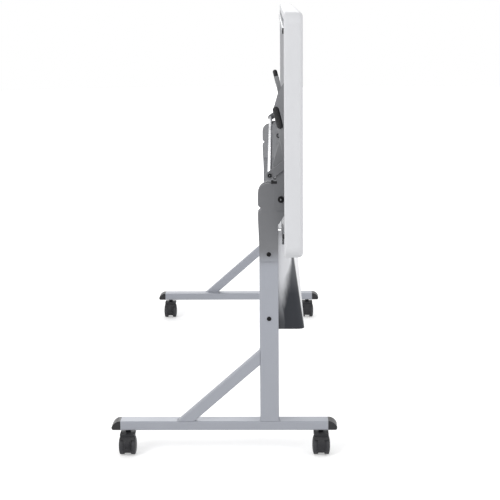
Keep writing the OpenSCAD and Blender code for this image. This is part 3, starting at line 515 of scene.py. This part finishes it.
def add_floor():
    """A pale disc that grows white away from the table; from below it can't be seen."""
    bm = bmesh.new()
    bmesh.ops.create_circle(bm, cap_ends=True, segments=96, radius=FLOOR_R)
    mesh = bpy.data.meshes.new("studio_floor")
    bm.to_mesh(mesh)
    bm.free()
    floor = bpy.data.objects.new("studio_floor", mesh)
    bpy.context.scene.collection.objects.link(floor)
    material = bpy.data.materials.new("studio_floor")
    material.use_nodes = True
    tree = material.node_tree
    shader = tree.nodes["Principled BSDF"]
    shader.inputs["Base Color"].default_value = (FLOOR_GREY, FLOOR_GREY, FLOOR_GREY, 1.0)
    shader.inputs["Roughness"].default_value = 0.9
    shader.inputs["Specular IOR Level"].default_value = 0.1
    shader.inputs["Emission Color"].default_value = WHITE
    seen, _ = seen_directly(tree)
    place = add_node(tree, "ShaderNodeTexCoord").outputs["Object"]
    away = add_node(tree, "ShaderNodeVectorMath", {0: place}, operation="LENGTH")
    rise = ranged(tree, away.outputs["Value"], *LIFT_REACH, *FLOOR_LIFT, smooth=True)
    tree.links.new(maths(tree, "MULTIPLY", seen, rise), shader.inputs["Emission Strength"])
    surface = add_node(tree, "ShaderNodeNewGeometry")
    below = add_node(tree, "ShaderNodeMixShader", {0: surface.outputs["Backfacing"],
                     1: shader.outputs[0],
                     2: add_node(tree, "ShaderNodeBsdfTransparent").outputs[0]})
    tree.links.new(below.outputs[0], tree.nodes["Material Output"].inputs["Surface"])
    mesh.materials.append(material)
    floor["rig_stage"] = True


def add_world():
    """White where it is seen directly, a softer white as light on the table."""
    world = bpy.data.worlds.new("studio")
    bpy.context.scene.world = world
    world.use_nodes = True
    tree = world.node_tree
    tree.nodes.clear()
    some, path = seen_directly(tree)
    seen = maths(tree, "MAXIMUM", some, path["Is Transmission Ray"])
    soft = add_node(tree, "ShaderNodeBackground", {"Color": WHITE, "Strength": SKY_STRENGTH})
    plain = add_node(tree, "ShaderNodeBackground", {"Color": WHITE, "Strength": 1.0})
    mix = add_node(tree, "ShaderNodeMixShader", {0: seen, 1: soft.outputs[0],
                   2: plain.outputs[0]})
    out = add_node(tree, "ShaderNodeOutputWorld")
    tree.links.new(mix.outputs[0], out.inputs["Surface"])


def add_lamp(name, place, aim, size, power):
    data = bpy.data.lights.new(name, "AREA")
    data.shape = "DISK"
    data.size = size
    data.energy = power
    lamp = bpy.data.objects.new(name, data)
    bpy.context.scene.collection.objects.link(lamp)
    lamp.location = place
    lamp.rotation_euler = (Vector(aim) - Vector(place)).to_track_quat("-Z", "Y").to_euler()


add_floor()
add_world()
add_lamp("key_lamp", (-3.2, -3.6, 3.4), (0.1, -0.2, 0.6), 2.6, 110)
add_lamp("fill_lamp", (3.6, -2.6, 2.2), (0.1, 0.0, 0.6), 3.0, 45)
add_lamp("back_lamp", (-0.6, 4.0, 3.0), (0.1, 0.2, 0.6), 3.0, 60)


# Meshes

MERGE_DISTANCE = 0.002
FLAT_ANGLE = math.radians(0.4)
SHARP_ANGLE = math.radians(32)


def mesh_from(bm, name):
    mesh = bpy.data.meshes.new(name)
    bm.to_mesh(mesh)
    bm.free()
    return mesh


def plain_mesh(work, name):
    """The evaluated mesh of a working object, which is then removed."""
    depsgraph = bpy.context.evaluated_depsgraph_get()
    mesh = bpy.data.meshes.new_from_object(work.evaluated_get(depsgraph), depsgraph=depsgraph)
    mesh.name = name
    bpy.data.objects.remove(work)
    return mesh


def working_object(mesh):
    work = bpy.data.objects.new("work", mesh)
    bpy.context.scene.collection.objects.link(work)
    return work


def smooth_by_angle(mesh, degrees):
    mesh.polygons.foreach_set("use_smooth", [True] * len(mesh.polygons))
    mesh.set_sharp_from_angle(angle=math.radians(degrees))


def add_piece(name, mesh, body, slot, nodes=(), materials=None):
    """A finished piece that rides on a body and stands for its CAD nodes."""
    if mesh.materials:
        mesh.materials.clear()
    for material in materials or [finishes[slot]]:
        mesh.materials.append(material)
    piece = bpy.data.objects.new(name, mesh)
    bpy.context.scene.collection.objects.link(piece)
    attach(piece, body)
    if nodes:
        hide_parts(*nodes)


def add_built(name, bm, degrees, body, slot, nodes=(), materials=None):
    """A finished piece from a bmesh, smooth across edges under an angle."""
    mesh = mesh_from(bm, name)
    smooth_by_angle(mesh, degrees)
    add_piece(name, mesh, body, slot, nodes, materials)


def rounded_copy(node, edge, steps=2):
    """A merged copy of a CAD node with its sharp edges rounded by edge millimetres."""
    bm = bmesh.new()
    bm.from_mesh(frame["nodes"][node].data)
    bmesh.ops.remove_doubles(bm, verts=bm.verts, dist=MERGE_DISTANCE * MM)
    bmesh.ops.dissolve_limit(bm, angle_limit=FLAT_ANGLE, verts=bm.verts, edges=bm.edges)
    work = working_object(mesh_from(bm, node))
    bevel = work.modifiers.new("edges", "BEVEL")
    bevel.width = edge * MM
    bevel.segments = steps
    bevel.limit_method = "ANGLE"
    bevel.angle_limit = SHARP_ANGLE
    bevel.use_clamp_overlap = True
    made = plain_mesh(work, node)
    smooth_by_angle(made, 50)
    work = working_object(made)
    work.modifiers.new("normals", "WEIGHTED_NORMAL").keep_sharp = True
    return plain_mesh(work, node)


def dress(node, name, edge, steps=2, coat=None):
    """Replaces a CAD node by its rounded copy."""
    body = frame["nodes"][node]["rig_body"]
    add_piece(name, rounded_copy(node, edge, steps), body, slot_of[node], [node],
              [coat] if coat else None)


def ring(bm, centre, across, up, radius, steps):
    """Points round a centre, radius in millimetres."""
    return [bm.verts.new(centre + (across * math.cos(t) + up * math.sin(t)) * radius * MM)
            for t in (math.tau * k / steps for k in range(steps))]


def stitch(bm, rings):
    """Bands of faces from ring to ring, a fan at a ring of one point: (band, face) pairs."""
    made = []
    for band, (low, high) in enumerate(zip(rings, rings[1:])):
        around = max(len(low), len(high))
        for k in range(around):
            nxt = (k + 1) % around
            if len(low) == 1:
                corners = [low[0], high[nxt], high[k]]
            elif len(high) == 1:
                corners = [low[k], low[nxt], high[0]]
            else:
                corners = [low[k], low[nxt], high[nxt], high[k]]
            made.append((band, bm.faces.new(corners)))
    return made


def lathe(bm, profile, centre, axis, steps, paint=None):
    """Turns (along, radius) pairs in millimetres round an axis; both ends lie on the axis."""
    axis = axis.normalized()
    across = axis.orthogonal().normalized()
    up = axis.cross(across)
    rings = []
    for along, radius in profile:
        middle = centre + axis * along * MM
        if radius == 0:
            rings.append([bm.verts.new(middle)])
        else:
            rings.append(ring(bm, middle, across, up, radius, steps))
    made = stitch(bm, rings)
    if paint:
        for band, face in made:
            face.material_index = paint[band]
    bmesh.ops.recalc_face_normals(bm, faces=[face for _, face in made])


def sweep(bm, path, radius, around):
    """A round tube of the given radius in millimetres along a path of points."""
    rings = []
    for i, spot in enumerate(path):
        ahead = (path[min(i + 1, len(path) - 1)] - path[max(i - 1, 0)]).normalized()
        across = ahead.cross(Vector((0, 1, 0))).normalized()
        rings.append(ring(bm, spot, across, across.cross(ahead), radius, around))
    stitch(bm, rings)
    bm.faces.new(rings[0][::-1])
    bm.faces.new(rings[-1])
    bmesh.ops.recalc_face_normals(bm, faces=bm.faces)


# Repeated fasteners and weld beads by geometry nodes


def new_tree(name, inputs):
    tree = bpy.data.node_groups.new(name, "GeometryNodeTree")
    tree.interface.new_socket("Geometry", in_out="INPUT", socket_type="NodeSocketGeometry")
    for socket, kind, value in inputs:
        made = tree.interface.new_socket(socket, in_out="INPUT", socket_type=kind)
        if value is not None:
            made.default_value = value
    tree.interface.new_socket("Geometry", in_out="OUTPUT", socket_type="NodeSocketGeometry")
    tree.is_modifier = True
    return tree, tree.nodes.new("NodeGroupInput").outputs, tree.nodes.new("NodeGroupOutput")


def realize(tree, geometry, finish, end):
    """Ends a tree with real geometry in one finish."""
    real = add_node(tree, "GeometryNodeRealizeInstances", {"Geometry": geometry})
    paint = add_node(tree, "GeometryNodeSetMaterial", {"Geometry": real.outputs[0],
                     "Material": finish})
    tree.links.new(paint.outputs[0], end.inputs[0])
    return tree


def build_head_tree():
    """Sets one fastener head on every point, its Z along the point's facing."""
    tree, given, end = new_tree("fastener_heads", [
        ("Head", "NodeSocketObject", None), ("Head radius", "NodeSocketFloat", 0.005),
        ("Finish", "NodeSocketMaterial", None)])
    facing = add_node(tree, "GeometryNodeInputNamedAttribute", {"Name": "facing"},
                      data_type="FLOAT_VECTOR")
    turn = add_node(tree, "FunctionNodeAlignRotationToVector",
                    {"Vector": facing.outputs["Attribute"]}, axis="Z")
    head = add_node(tree, "GeometryNodeObjectInfo", {"Object": given["Head"]},
                    transform_space="ORIGINAL")
    put = add_node(tree, "GeometryNodeInstanceOnPoints", {
        "Points": given["Geometry"], "Instance": head.outputs["Geometry"],
        "Rotation": turn.outputs[0], "Scale": given["Head radius"]})
    return realize(tree, put.outputs[0], given["Finish"], end)


def build_bead_tree():
    """A weld bead along each edge of the path, with the ripples of a hand weld."""
    step = 0.00055
    swell_share = 0.1
    tree, given, end = new_tree("weld_bead", [
        ("Bead radius", "NodeSocketFloat", 0.0018), ("Ripple", "NodeSocketFloat", 0.0022),
        ("Finish", "NodeSocketMaterial", None)])
    path = add_node(tree, "GeometryNodeMeshToCurve", {"Mesh": given["Geometry"]})
    even = add_node(tree, "GeometryNodeResampleCurve", {"Curve": path.outputs[0],
                    "Length": step}, mode="LENGTH")
    along = add_node(tree, "GeometryNodeSplineParameter")
    turns = maths(tree, "DIVIDE", along.outputs["Length"], given["Ripple"])
    wave = maths(tree, "SINE", maths(tree, "MULTIPLY", turns, math.tau))
    swell = maths(tree, "MULTIPLY_ADD", wave, swell_share, 1.0)
    profile = add_node(tree, "GeometryNodeCurvePrimitiveCircle",
                       {"Resolution": 10, "Radius": given["Bead radius"]})
    swept = add_node(tree, "GeometryNodeCurveToMesh", {
        "Curve": even.outputs[0], "Profile Curve": profile.outputs[0],
        "Scale": swell, "Fill Caps": True})
    return realize(tree, swept.outputs[0], given["Finish"], end)


head_tree = build_head_tree()
bead_tree = build_bead_tree()


def run_tree(mesh, tree, name, inputs):
    """The mesh that a tree of geometry nodes makes with these inputs."""
    work = working_object(mesh)
    modifier = work.modifiers.new(name, "NODES")
    modifier.node_group = tree
    for item in tree.interface.items_tree:
        if item.item_type == "SOCKET" and item.in_out == "INPUT" and item.name in inputs:
            modifier[item.identifier] = inputs[item.name]
    return plain_mesh(work, name)


def socket_head():
    """A button head of radius 1 with a hexagon socket, its seat at Z 0."""
    crown = [(0.0, 1.0), (0.12, 1.0), (0.2, 0.985), (0.34, 0.92), (0.46, 0.8), (0.55, 0.62),
             (0.57, 0.56)]
    socket = [(0.57, 0.45), (0.54, 0.43), (0.16, 0.43)]
    around = 36
    bm = bmesh.new()
    turns = [math.tau * k / around for k in range(around)]
    rings = [[bm.verts.new((r * math.cos(t), r * math.sin(t), z)) for t in turns]
             for z, r in crown]
    for z, half_width in socket:
        reaches = [half_width / math.cos((t + math.pi / 6) % (math.pi / 3) - math.pi / 6)
                   for t in turns]
        rings.append([bm.verts.new((reach * math.cos(t), reach * math.sin(t), z))
                      for t, reach in zip(turns, reaches)])
    stitch(bm, rings)
    bm.faces.new(rings[-1])
    bm.faces.new(rings[0][::-1])
    bmesh.ops.recalc_face_normals(bm, faces=bm.faces)
    mesh = mesh_from(bm, "socket_head")
    smooth_by_angle(mesh, 35)
    return mesh


head_template = working_object(socket_head())


def screws(name, places, head_radius, shank_radius, length, body, node):
    """Dark button head screws; places holds (seat point, outward direction) pairs."""
    points = bpy.data.meshes.new(name)
    points.from_pydata([tuple(seat) for seat, _ in places], [], [])
    facing = points.attributes.new("facing", "FLOAT_VECTOR", "POINT")
    for index, (_, out) in enumerate(places):
        facing.data[index].vector = out
    bm = bmesh.new()
    bm.from_mesh(run_tree(points, head_tree, "heads", {
        "Head": head_template, "Head radius": head_radius * MM,
        "Finish": finishes["black_steel"]}))
    shank = [(0.3, 0), (0.3, shank_radius), (-length + 0.8, shank_radius),
             (-length, shank_radius - 0.7), (-length, 0)]
    for seat, out in places:
        lathe(bm, shank, seat, out, 24)
    add_built(name, bm, 35, body, "black_steel", [node])


cheek_places = [
    (top_point(side, depth, inward, LINER_FACE - FLANGE_T), Vector((-1, 0, 0)))
    for side in SIDES.values() for depth in SCREW_ROWS
    for inward in (CHEEK_FACE - CHEEK_SCREW_INSET, COLUMN_D - CHEEK_FACE + CHEEK_SCREW_INSET)]
screws("cheek_screw_heads", cheek_places, head_radius=5.2, shank_radius=2.5, length=6.0,
       body="top", node="cheek_screws")

panel_places = [(leg_point(side, PANEL_BOLT_X, seat, z), Vector((0, side, 0)))
                for side in SIDES.values() for z, seat in PANEL_BOLTS]
screws("panel_bolt_heads", panel_places, head_radius=6.0, shank_radius=3.0, length=39.0,
       body="leg_frame", node="panel_bolts")


def add_welds():
    """Beads round the column and brace on the foot, and round the brace on the column."""
    inset = 1.5
    rise = BRACE_REACH * math.tan(BRACE_ANGLE)
    drop = BRACE_W / math.cos(BRACE_ANGLE)
    heel = BRACE_W / math.sin(BRACE_ANGLE)
    bm = bmesh.new()
    for side in SIDES.values():
        column = [(x, y, FOOT_TOP) for x, y in (
            (0, inset), (0, COLUMN_D), (COLUMN_W, COLUMN_D), (COLUMN_W, inset))]
        brace_low = [(x, y, FOOT_TOP) for x, y in (
            (-BRACE_REACH, inset), (-BRACE_REACH, BRACE_D), (-BRACE_REACH + heel, BRACE_D),
            (-BRACE_REACH + heel, inset))]
        brace_high = [(0, y, z) for y, z in (
            (inset, FOOT_TOP + rise), (BRACE_D, FOOT_TOP + rise),
            (BRACE_D, FOOT_TOP + rise - drop), (inset, FOOT_TOP + rise - drop))]
        for path in (column, brace_low, brace_high):
            corners = [bm.verts.new(leg_point(side, *place)) for place in path]
            for low, high in zip(corners, corners[1:]):
                bm.edges.new((low, high))
    mesh = run_tree(mesh_from(bm, "weld_beads"), bead_tree, "weld_beads", {
        "Bead radius": 1.7 * MM, "Ripple": 2.4 * MM, "Finish": finishes["leg_paint"]})
    smooth_by_angle(mesh, 60)
    add_piece("weld_beads", mesh, "leg_frame", "leg_paint")


add_welds()


# Leg frame, brackets and panel

for side_name in SIDES:
    dress(f"column_{side_name}", f"column_{side_name}_tube", 0.4, coat=column_coat)
    dress(f"foot_{side_name}", f"foot_{side_name}_tube", 0.4)
    dress(f"brace_{side_name}", f"brace_{side_name}_tube", 0.4)
    for layer in ("outer", "inner"):
        plate = f"head_plate_{side_name}_{layer}"
        dress(plate, f"{plate}_pressed", 0.7, 3, head_coat if layer == "outer" else inner_coat)
        cheek = f"hinge_cheek_{side_name}_{layer}"
        dress(cheek, f"{cheek}_pressed", 0.6, 3, lever_coat if layer == "outer" else inner_coat)
    dress(f"crank_{side_name}", f"crank_{side_name}_plate", 0.7, 3, lever_coat)

# CAD node, name of its piece, rounding of its edges in millimetres and steps of the rounding
for node_name, piece_name, rounding, round_steps in (
        ("foot_caps", "foot_cap_mouldings", 1.0, 3),
        ("rail_plugs", "rail_plug_mouldings", 0.8, 3),
        ("latch_bumpers", "latch_bumper_blocks", 0.6, 3),
        ("panel_nuts", "panel_nut_hexagons", 0.5, 2),
        ("pivot_nuts", "pivot_nut_hexagons", 0.7, 2),
        ("pivot_bushes", "pivot_bush_sleeves", 0.3, 2),
        ("worktop", "worktop_moulding", 0.7, 2),
        ("underside_liner", "underside_liner_sheet", 0.3, 2),
        ("modesty_panel", "modesty_panel_sheet", 0.3, 2),
        ("apron_rail_front", "apron_rail_front_tube", 0.3, 2),
        ("apron_rail_rear", "apron_rail_rear_tube", 0.3, 2),
        ("cross_channel_right", "cross_channel_right_section", 0.4, 2),
        ("cross_channel_left", "cross_channel_left_section", 0.4, 2)):
    dress(node_name, piece_name, rounding, round_steps)


# Bolts with a dark ring round a dull middle, of the pivots and of the latch bar

RINGED = [finishes["black_steel"], core_steel]
RING_PAINT = [0, 0, 0, 0, 0, 0, 0, 0, 1, 1]
SHANK_PAINT = [1, 1, 1, 1]

# Radius and height of a head, and (along, radius) of a shank from the head's seat
PIVOT_HEAD = (8.4, 6.2)
PIVOT_SHANK = [(0.5, 0), (0.5, 5), (-55.5, 5), (-56.5, 4.2), (-56.5, 0)]
BAR_BOLT_HEAD = (5.4, 3.6)
BAR_BOLT_SHANK = [(0.3, 0), (0.3, 3), (-19, 3), (-20, 2.3), (-20, 0)]


def ringed_bolt(bm, seat, out, head, shank, shank_steps):
    """A shank and a stepped round head: dark dished ring, dull domed middle."""
    radius, height = head
    profile = [(0, 0), (0, radius), (height * 0.55, radius), (height * 0.8, radius * 0.95),
               (height, radius * 0.82), (height, radius * 0.52), (height * 0.82, radius * 0.46),
               (height * 0.82, radius * 0.36), (height * 0.96, radius * 0.31),
               (height * 1.04, radius * 0.2), (height * 1.06, 0)]
    lathe(bm, profile, seat, out, 48, RING_PAINT)
    lathe(bm, shank, seat, out, shank_steps, SHANK_PAINT)


for side_name, side in SIDES.items():
    bm = bmesh.new()
    ringed_bolt(bm, top_point(side, 0, CHEEK_FACE, 0), Vector((0, side, 0)), PIVOT_HEAD,
                PIVOT_SHANK, 40)
    add_built(f"pivot_bolt_{side_name}_head", bm, 40, "top", "black_steel",
              [f"pivot_bolt_{side_name}"], RINGED)


# Latch bar, its bolts, the crank pins and their springs

# (along, radius) of a pin from the column's outer face, and how far a spring's legs reach
PIN_PROFILE = [(3, 0), (3, 5.6), (3.3, 6), (4.5, 6), (4.5, 4), (24.2, 4), (24.2, 7.6),
               (24.6, 8), (26.4, 8), (27.2, 7.2), (27.2, 3.2), (26.5, 2.6), (26.5, 0)]
SPRING_STEPS = 40
SPRING_LEG = (22, 12, 3)


def spring_path(side):
    """A leg, the turns from above the pin and a leg, round the crank pin."""
    def coil(i):
        turn = i / SPRING_STEPS
        angle = math.tau * (turn + 0.25)
        return (CRANK_PIN[0] + SPRING_R * math.cos(angle), SPRING_Y - SPRING_PITCH * turn,
                CRANK_PIN[1] + SPRING_R * math.sin(angle))

    coils = [coil(i) for i in range(SPRING_TURNS * SPRING_STEPS + 1)]
    first, last = coils[0], coils[-1]
    places = [(first[0] + reach, first[1], first[2]) for reach in SPRING_LEG]
    places += coils
    places += [(last[0] - reach, last[1], last[2]) for reach in reversed(SPRING_LEG)]
    return [top_point(side, *place) for place in places]


bar_low, bar_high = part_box("latch_bar")
bar_middle = (Vector(bar_low) + Vector(bar_high)) / 2
bar_half = (bar_high[1] - bar_low[1]) / 2 / MM
bm = bmesh.new()
lathe(bm, [(-bar_half, 0), (-bar_half, 5.2), (-bar_half + 0.3, 5.8), (-bar_half + 1, 6),
           (bar_half - 1, 6), (bar_half - 0.3, 5.8), (bar_half, 5.2), (bar_half, 0)],
      bar_middle, Vector((0, 1, 0)), 64)
add_built("latch_bar_rod", bm, 35, "release", "bar_chrome", ["latch_bar"])

bolts = bmesh.new()
pins = bmesh.new()
for side_name, side in SIDES.items():
    out = Vector((0, side, 0))
    seat = Vector((bar_middle[0], side * (LEG_OUTER - CRANK_FACE) * MM, bar_middle[2]))
    ringed_bolt(bolts, seat, out, BAR_BOLT_HEAD, BAR_BOLT_SHANK, 32)
    lathe(pins, PIN_PROFILE, top_point(side, CRANK_PIN[0], 0, CRANK_PIN[1]), out, 48)
    bm = bmesh.new()
    sweep(bm, spring_path(side), SPRING_WIRE_R, 12)
    add_built(f"crank_spring_{side_name}_wire", bm, 50, "top", "bright_steel",
              [f"crank_spring_{side_name}"])
add_built("bar_bolt_heads", bolts, 40, "release", "black_steel", ["bar_bolts"], RINGED)
add_built("crank_pin_studs", pins, 35, "top", "bright_steel", ["crank_pins"], [core_steel])


# Grips on the release levers

GROOVE_FROM, GROOVE_TO = 9, 50
GROOVES = 6
GROOVE_DEPTH = 0.32
GRIP_RISE = 4.95
HOOD_RUN = 5
HOOD_BEYOND = 3.4
LEVER_CLEARANCE = 0.05
GRIP_BANDS, GRIP_AROUND = 88, 40


def ease(share):
    share = min(max(share, 0.0), 1.0)
    return share * share * (3 - 2 * share)


def grip_section(run):
    """Half width, outer rise and inner reach of the grip at a run along it."""
    from_end = min(run, GRIP_LENGTH - run)
    cap = 1.0
    if from_end < GRIP_R:
        cap = math.sqrt(max(1 - ((GRIP_R - from_end) / GRIP_R) ** 2, 0.0))
    groove = 0.0
    if GROOVE_FROM < run < GROOVE_TO:
        turn = (run - GROOVE_FROM) / (GROOVE_TO - GROOVE_FROM) * GROOVES * math.tau
        groove = GROOVE_DEPTH * (0.5 - 0.5 * math.cos(turn))
    wrap = ease((run - (GRIP_LENGTH - GRIP_HOOD)) / HOOD_RUN)
    return (GRIP_R * cap, GRIP_RISE * cap ** 0.5 - groove,
            LEVER_CLEARANCE + (CRANK_T + HOOD_BEYOND) * wrap * cap ** 0.6)


def add_grip(side_name, side):
    """A moulded oval on the lever's outer side; near the tip it wraps round the lever."""
    bm = bmesh.new()
    along = Vector((-math.cos(GRIP_LEAN), -math.sin(GRIP_LEAN)))
    square = Vector((-along[1], along[0]))
    rings = []
    for i in range(GRIP_BANDS + 1):
        run = GRIP_LENGTH * (1 - math.cos(math.pi * i / GRIP_BANDS)) / 2
        width, outer, inner = grip_section(run)
        middle = Vector(GRIP_LOW) + along * (GRIP_START + run)
        if i in (0, GRIP_BANDS):
            rings.append([bm.verts.new(top_point(side, middle[0], CRANK_FACE, middle[1]))])
            continue
        points = []
        for k in range(GRIP_AROUND):
            t = math.tau * k / GRIP_AROUND
            reach = abs(math.sin(t)) ** 0.8
            depth = -outer * reach if math.sin(t) < 0 else inner * reach
            spot = middle + square * (width * math.copysign(abs(math.cos(t)) ** 0.7, math.cos(t)))
            points.append(bm.verts.new(top_point(side, spot[0], CRANK_FACE + depth, spot[1])))
        rings.append(points)
    stitch(bm, rings)
    bmesh.ops.recalc_face_normals(bm, faces=bm.faces)
    add_built(f"grip_{side_name}_moulding", bm, 50, "release", "grip_rubber",
              [f"grip_{side_name}"])


for side_name, side in SIDES.items():
    add_grip(side_name, side)


# Casters

# (along, radius) of one wheel from its inner face outward, with a domed outer face
WHEEL_PROFILE = [
    (12.5, 0), (12.5, 3), (0, 3), (0, 9.6), (0.4, 10), (1, 10.2), (1, 20.6), (0.3, 21.4),
    (0, 22.2), (0, 23.4), (0.4, 24.3), (1.2, 24.8), (2.2, 25.0), (9.6, 25.0), (10.8, 24.85),
    (11.8, 24.4), (12.5, 23.6), (12.7, 22.9), (12.3, 22.4), (12.5, 21.9), (13.3, 21.0),
    (14.1, 18.0), (14.8, 13.5), (15.2, 9.5), (14.8, 8.9), (14.8, 8.2), (15.3, 7.4),
    (15.5, 4.0), (15.5, 0)]
TREAD_BANDS = range(8, 17)
WHEEL_PAINT = [int(band in TREAD_BANDS) for band in range(len(WHEEL_PROFILE) - 1)]

for row in ROWS:
    for side_name in SIDES:
        name = f"caster_{row}_{side_name}"
        low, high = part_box(f"{name}_wheels")
        hub = (Vector(low) + Vector(high)) / 2
        bm = bmesh.new()
        for way in (-1, 1):
            lathe(bm, WHEEL_PROFILE, hub + Vector((way * WHEEL_GAP / 2 * MM, 0, 0)),
                  Vector((way, 0, 0)), 72, WHEEL_PAINT)
        add_built(f"{name}_tyres", bm, 40, f"{name}_wheelset", "wheel_plastic",
                  [f"{name}_wheels"], [finishes["wheel_plastic"], wheel_tread])
        dress(f"{name}_hood", f"{name}_hood_moulding", 0.7, 3)
        dress(f"{name}_stem", f"{name}_stem_turned", 0.5, 2)
        dress(f"{name}_axle", f"{name}_axle_pin", 0.4, 2)
        if row == "front":
            dress(f"{name}_pedal", f"{name}_pedal_lever", 0.6, 3)

bpy.data.objects.remove(head_template)

low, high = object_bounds()
